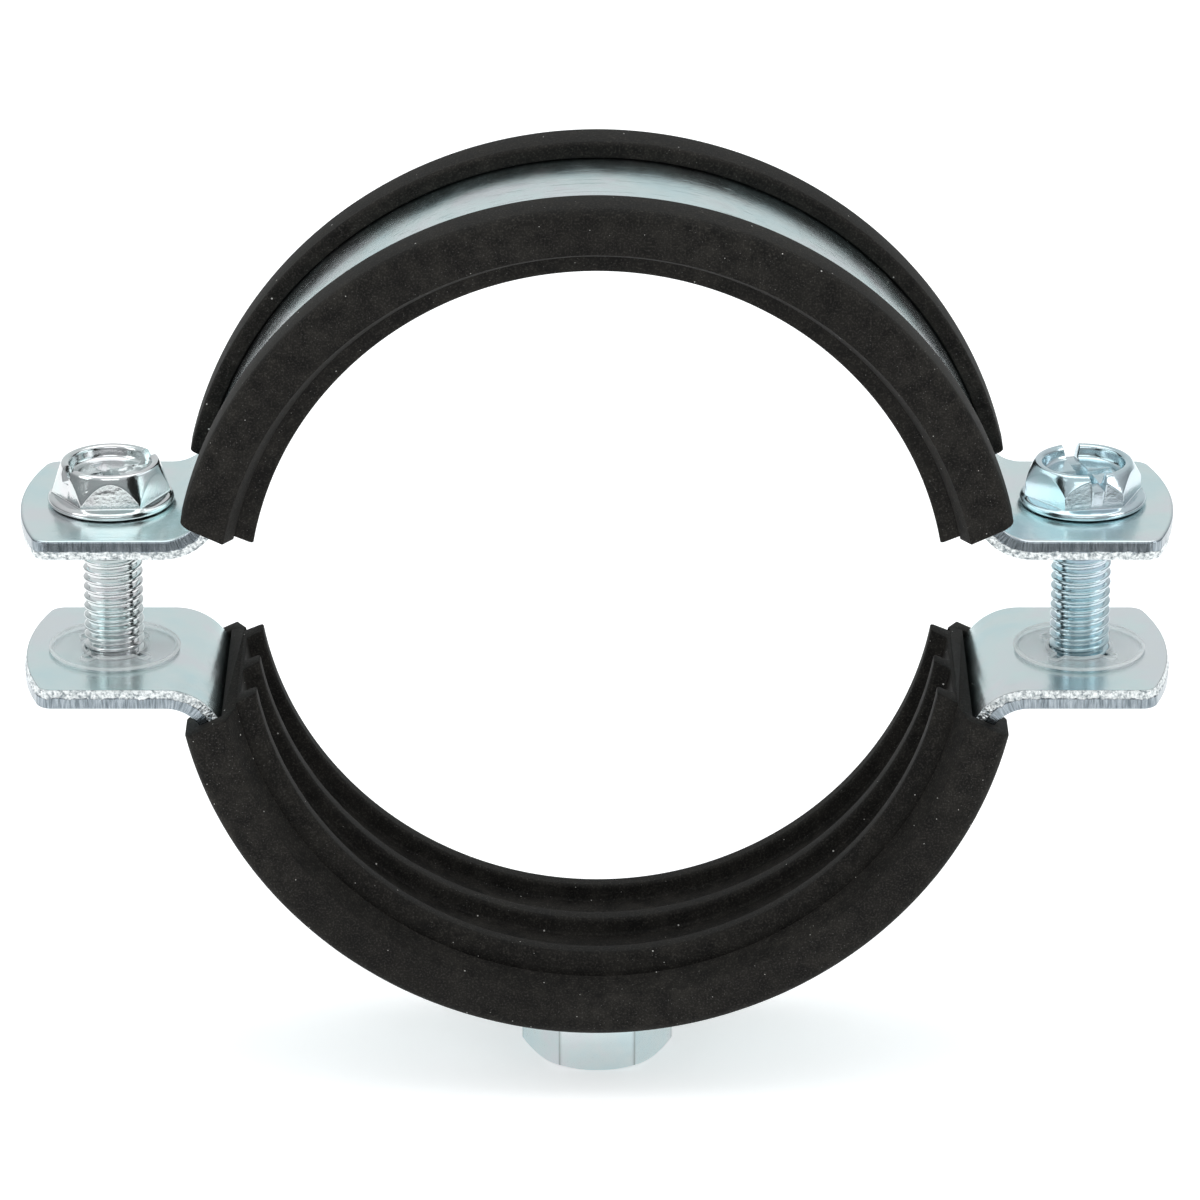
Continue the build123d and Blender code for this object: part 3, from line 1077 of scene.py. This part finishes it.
def wedge(name, span, width, top, turn):
    """A long block that narrows downwards, standing for a punch."""
    narrowing = punch_depth * math.tan(math.radians(punch_taper))
    points = []
    for z, shrink in ((top - punch_depth, narrowing), (top, 0.0), (top + 3, 0.0)):
        half_x, half_y = span / 2 - shrink, width / 2 - shrink
        points += [(x * half_x, y * half_y, z) for x, y in ((-1, -1), (1, -1), (1, 1), (-1, 1))]
    made = solid(name, points, strips(3, 4) + [(3, 2, 1, 0), (8, 9, 10, 11)])
    made.data.transform(Matrix.Rotation(math.radians(turn), 4, "Z"))
    return made


def cut(piece, punch):
    """Takes the punch out of the piece."""
    modifier = piece.modifiers.new("cut", "BOOLEAN")
    modifier.operation = "DIFFERENCE"
    modifier.solver = "EXACT"
    modifier.object = punch
    graph = bpy.context.evaluated_depsgraph_get()
    mesh = bpy.data.meshes.new_from_object(piece.evaluated_get(graph), depsgraph=graph)
    piece.modifiers.remove(modifier)
    piece.data = mesh
    bpy.data.objects.remove(punch)


cut_merge, short_edge = 0.002, 0.005
sharp_turn = 38


def soften(piece, lowest, width):
    """Rounds the sharp edges above a height."""
    work = bmesh.new()
    work.from_mesh(piece.data)
    bmesh.ops.remove_doubles(work, verts=work.verts, dist=cut_merge * MM)
    bmesh.ops.dissolve_degenerate(work, edges=work.edges, dist=short_edge * MM)
    edges = []
    for e in work.edges:
        high = min(v.co.z for v in e.verts) > lowest * MM
        if high and len(e.link_faces) == 2 and math.degrees(e.calc_face_angle(0)) > sharp_turn:
            edges.append(e)
    size = {"offset": width * MM, "offset_type": "OFFSET", "segments": 2, "profile": 0.5}
    bmesh.ops.bevel(work, geom=edges, affect="EDGES", clamp_overlap=True, **size)
    work.to_mesh(piece.data)
    work.free()
    print(piece.name, len(edges), "edges rounded")


# %% [markdown]
# ## Screws
# Both screws are the same kind, but no two heads are formed alike. The right one has a wider cone,
# and each has its slot and its flats turned as it happened to stop. So a row of values tells them
# apart, and one loop makes them. The stud's top is sunk a little into the head.

# %% Screws
stud_length = 20
stud_sunk = 0.3
soft_above, soft_edge = 1.4, 0.13
screws = {  # place across, slot turned, flats turned, cone's foot
    "left": (-screw_reach, 32.0, 3.0, 5.85),
    "right": (screw_reach, -76.0, 9.0, 6.5),
}
for side, (place, slot_turn, flats_turn, cone_foot) in screws.items():
    head = turned(side + "_screw_plated", lambda a: head_column(a, cone_foot), head_steps)
    head.data.transform(Matrix.Rotation(math.radians(flats_turn), 4, "Z"))
    for name, (span, width, top) in punches.items():
        cut(head, wedge(name, span, width, top, slot_turn))
    soften(head, soft_above, soft_edge)
    head.data.transform(Matrix.Translation((place * MM, 0, head_seat * MM)))
    stud = solid("thread", [(0, 0, 0)], [])
    foot = Vector((place, 0, head_seat - stud_length)) * MM
    thread_zinc = zinc[side + " thread"]
    values = {"Place": foot, "Length": (stud_length + stud_sunk) * MM, "Finish": thread_zinc}
    run_tree(stud, thread_tree, values)
    join(head, zinc[side + " screw"], stud, thread_zinc)
    tidy(head, corner=38)
    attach(head, side + "_screw")
    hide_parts(side + "_screw")

# %% [markdown]
# ## Milky plastic
# A thin milky disc keeps each screw in the lower half until the clamp is used. It is nearly clear,
# so the plating shows through it. Real glass would bend the view and take longer to render. Alpha
# below one lets the metal through as it is, and the mesh marks the rim, where the disc is painted
# more opaque: a painted highlight for the brighter line seen where the rim is edge on.

# %% Washer material
milky, shader, build = principled("milky plastic")
shader.inputs["Specular IOR Level"].default_value = 0.5
haze = build.noise(build.spot(), 320.0, 3.0)
milk = build.tint(haze, (0.90, 0.93, 0.94, 1), (0.97, 0.98, 0.98, 1))
build.feed(shader, "Base Color", milk)
build.feed(shader, "Roughness", build.spread(haze, 0.3, 0.7, 0.36, 0.48))
# Painted highlight: the rim mark adds opacity, so the milky white stands in for the bright edge
# line.
rim_painted_highlight = build.times(build.mark("rim"), 0.4)
build.feed(shader, "Alpha", build.plus(build.spread(haze, 0.3, 0.7, 0.14, 0.24), rim_painted_highlight))
bump(build, shader, haze, 0.006 * MM)
print("washer material", len(milky.node_tree.nodes), "nodes")

# %% [markdown]
# ## Retaining washer
# Four notches let the washer give as the screw is pushed through, and the push leaves it dished.
# Its bore is not round, so a cylinder with a hole won't do. The rows run from the bore to the rim
# over the top and back underneath, and the bore's radius follows a rule of the angle.

# %% Washer shape
washer_radius = 6.45
washer_bore = 3.0
washer_seat = -4.85
washer_thickness = 0.28
washer_dish = 0.12
notch_length = 1.4
notch_half_angle = 9.5
first_notch = 50.0
washer_steps = 180
washer_rows = 9
rim_bulge, bore_bulge = 0.05, -0.02
past_edge, rim_share, face_share = 0.012, 0.03, 0.98


def washer_inner(angle):
    """Radius of the washer's bore at an angle, with its four notches."""
    off = abs((angle - first_notch + 45) % 90 - 45) / notch_half_angle
    return washer_bore + (notch_length * (1 - off**4) ** 0.5 if off < 1 else 0.0)


def washer_solid(name, place):
    """The dished disc round its screw. Its share of the way out is past 0 and 1 at the edges."""
    points, rims = [], []
    over = [(i / (washer_rows - 1), 1) for i in range(washer_rows)]
    under = [(share, -1) for share, _ in reversed(over)]
    for share, side in over + [(1 + past_edge, 0)] + under + [(-past_edge, 0)]:
        bulge = rim_bulge if share > 1 else (bore_bulge if share < 0 else 0.0)
        for s in range(washer_steps):
            a = 360 * s / washer_steps
            inner = washer_inner(a)
            r = inner + (washer_radius - inner) * min(share, 1.0) + bulge
            lift = washer_dish * ((r - washer_bore) / (washer_radius - washer_bore)) ** 2
            z = washer_seat + washer_thickness / 2 * (1 + side * face_share) + lift
            x, y = place + r * math.cos(math.radians(a)), r * math.sin(math.radians(a))
            points.append((x, y, z))
            # The rim mark is where the washer's material paints its highlight as extra opacity.
            rims.append(1.0 if share > 1 - rim_share or share < rim_share else 0.0)
    rows = len(points) // washer_steps
    faces = strips(rows, washer_steps)
    last = (rows - 1) * washer_steps
    for c in range(washer_steps):
        n = (c + 1) % washer_steps
        faces.append((last + c, last + n, n, c))
    return solid(name, points, faces, {"rim": rims})


print("bore beside and in a notch", washer_inner(0), washer_inner(first_notch), "mm")

# %% [markdown]
# ## Both washers
# The washers stay with the lower half when the upper one is lifted, because that is what holds the
# screws there. Each is drawn round its own screw, and could be a copy of the other. A second call
# is shorter than moving a copy's points.

# %% Washers
for side in screws:
    washer = washer_solid(side + "_washer_plastic", screws[side][0])
    washer.data.materials.append(milky)
    tidy(washer, corner=60)
    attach(washer, "lower_half")
    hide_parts(side + "_washer")

# %% [markdown]
# ## Connection nut
# A hexagon nut is welded under the lower strap. Its free end has the usual corner bevel, its other
# end follows the strap's curve, and the weld has left a thin bead round it. A hexagon prism would
# need all three cut into it. It is turned like the head instead, with a hexagon for a radius.

# %% Nut shape
nut_flat = 6.5
nut_base = -47.95
nut_pitch = 1.25
nut_mouth = 4.3
bore_turns = 6
nut_face = 6.1
bevel_start = 6.3
weld_reach = 5.0
saddle_radius = 39.5
nut_steps = 96
weld_bead = [(0.0, -0.75), (0.02, -0.4), (0.16, -0.18)]  # out from the flat, below the strap


def saddle(radius, angle):
    """Height of the strap's underside over a point of the nut."""
    x = radius * math.cos(math.radians(angle))
    return -math.sqrt(saddle_radius**2 - x * x)


def nut_column(angle):
    """Radius and height from the bore's mouth, round the outside and back to the bore."""
    across = hexagon(nut_flat, angle)
    bevel = max(0.12, (across - bevel_start) * math.tan(math.radians(30)))
    top = saddle(across, angle)
    column = [(nut_mouth, nut_base), (nut_face, nut_base)]
    column += [(min(bevel_start, across - 0.1), nut_base + 0.02)]
    column += [(across - 0.03, nut_base + bevel), (across, nut_base + bevel + 0.1)]
    column += [(across + out, top + below) for out, below in weld_bead]
    column += [(across + 0.34, saddle(across + 0.3, angle) - 0.02)]
    column += [(weld_reach, saddle(weld_reach, angle))]
    return column + [(nut_mouth, nut_base + bore_turns * nut_pitch)]


print("nut corners", round(2 * hexagon(nut_flat, 0), 2), "mm across")

# %% [markdown]
# ## Nut and its thread
# The bore's thread is the same tree as the studs', with the crest as the deep line of the groove.
# Its two ends fall onto the mouth's radius, where the turned body begins and ends, so the two
# meshes close each other. Wear shows first at the corners. A bevel there could have a material of
# its own, but that ends in a hard line, so the points near a corner carry a mark instead.

# %% Nut
nut_bore = 3.4
nut_groove = 3.95
nut = turned("connection_nut_plated", nut_column, nut_steps)
bore = solid("bore", [(0, 0, 0)], [])
bore_values = {
    "Place": (0, 0, nut_base * MM),
    "Length": bore_turns * nut_pitch * MM,
    "Pitch": nut_pitch * MM,
    "Crest Radius": nut_groove * MM,
    "Root Radius": nut_bore * MM,
    "Point": -2.0 * MM,  # a bore has no pointed ends
    "End Radius": nut_mouth * MM,
    "Turn Steps": nut_steps,
    "Rows": 12,
    "Finish": nut_zinc,
}
run_tree(bore, thread_tree, bore_values)
join(nut, nut_zinc, bore, nut_zinc)
tidy(nut, corner=32)
corner_marks = nut.data.attributes.new("corner", "FLOAT", "POINT").data
for v in nut.data.vertices:
    off_corner = (math.degrees(math.atan2(v.co.y, v.co.x)) + 30) % 60 - 30
    outside = math.hypot(v.co.x, v.co.y) > nut_flat * MM
    near = max(0.0, 1 - abs(off_corner) / (360 / nut_steps))
    corner_marks[v.index].value = near if outside else 0.0
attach(nut, "lower_half")
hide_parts("connection_nut")

# %% [markdown]
# ## Floor
# The clamp stands on its nut on a pale sheet, far bigger than the view, so that no edge shows. A
# white paper would still come out grey under soft lamps, so the sheet also gives a little light of
# its own.

# %% Floor
floor_level = nut_base - 0.02
floor_reach = 2500


def flat_sheet(name, reach, front, back, level):
    """One face, as wide as twice the reach and from front to back at one level."""
    corners = [(-reach, front), (reach, front), (reach, back), (-reach, back)]
    return solid(name, [(x, y, level) for x, y in corners], [(0, 1, 2, 3)])


floor = flat_sheet("floor", floor_reach, -floor_reach, floor_reach, floor_level)
floor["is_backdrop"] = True
paper, shader, build = principled("pale sheet")
fibre = build.noise(build.spot(), 300.0, 4.0)
white = build.tint(fibre, (0.93, 0.93, 0.93, 1), (0.95, 0.95, 0.95, 1))
build.feed(shader, "Base Color", white)
shader.inputs["Roughness"].default_value = 0.9
shader.inputs["Specular IOR Level"].default_value = 0.1
shader.inputs["Emission Color"].default_value = (1, 1, 1, 1)
shader.inputs["Emission Strength"].default_value = 0.34
floor.data.materials.append(paper)
print("floor at", round(floor_level, 2), "mm")

# %% [markdown]
# ## Studio
# Bright metal shows what is round it more than itself, so the room matters: a broad lamp above,
# softer ones at the sides and in front, and surroundings that are dim low in front and pale above
# and behind. A picture of a real studio would do this too, but a rule of the direction needs no
# file.

# %% Lamps
world = bpy.data.worlds.new("studio")
world.use_nodes = True
build = Nodes(world.node_tree)
looking = build.add("ShaderNodeTexCoord").outputs["Generated"]
direction = build.add("ShaderNodeSeparateXYZ", {0: looking}).outputs
above = build.spread(direction["Z"], 0.0, 0.75, smooth=True)
behind = build.spread(direction["Y"], 0.35, 0.95, smooth=True)
pale = build.math("MAXIMUM", above, behind)
sky = build.tint(pale, (0.26, 0.28, 0.29, 1), (0.76, 0.79, 0.80, 1))
build.feed(world.node_tree.nodes["Background"], "Color", sky)
scene.world = world
scene.view_settings.view_transform = "Standard"

lamps = {  # place, size, power in watts
    "lamp above": ((0, 60, 800), (900, 700), 2.6),
    "lamp left": ((-650, -350, 420), (350, 450), 1.0),
    "lamp right": ((650, -300, 380), (300, 450), 0.9),
    "lamp front": ((0, -800, 520), (600, 250), 0.6),
}
for name, (place, size, power) in lamps.items():
    data = bpy.data.lights.new(name, "AREA")
    data.shape = "RECTANGLE"
    data.size, data.size_y = size[0] * MM, size[1] * MM
    data.energy = power
    lamp = bpy.data.objects.new(name, data)
    lamp.location = Vector(place) * MM
    lamp.rotation_euler = (-lamp.location).to_track_quat("-Z", "Y").to_euler()
    scene.collection.objects.link(lamp)
print("lamps", len(lamps))

# %% [markdown]
# ## Dark card
# Upright facets of bright metal mirror the sheet in front of them, and would be as white as it is.
# A photographer lays a dark card there. This one lies flat in front of the clamp, and only
# reflections see it. It could stand upright instead, but then faces that lean back would mirror
# it too.

# %% Card
card_reach = 260
card_front, card_back = -250, -139
card_level = -47.6
card_value = 0.06

card = flat_sheet("card front", card_reach, card_front, card_back, card_level)
card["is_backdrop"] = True
felt, shader, _ = principled("card front")
shader.inputs["Base Color"].default_value = (card_value, card_value, card_value, 1)
shader.inputs["Roughness"].default_value = 1.0
shader.inputs["Specular IOR Level"].default_value = 0.0
card.data.materials.append(felt)
for sight in ("camera", "diffuse", "transmission", "volume_scatter", "shadow"):
    setattr(card, "visible_" + sight, False)
print("card from", card_front, "to", card_back, "mm")

# %% [markdown]
# ## Finish
# The box of the imported model and the box of what is shown are written side by side, so that the
# two can be compared.

# %% Sizes and finish
shown_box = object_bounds()
for name, box in (("cad", cad_box), ("shown", shown_box)):
    print(name, [[round(c / MM, 2) for c in v] for v in box])
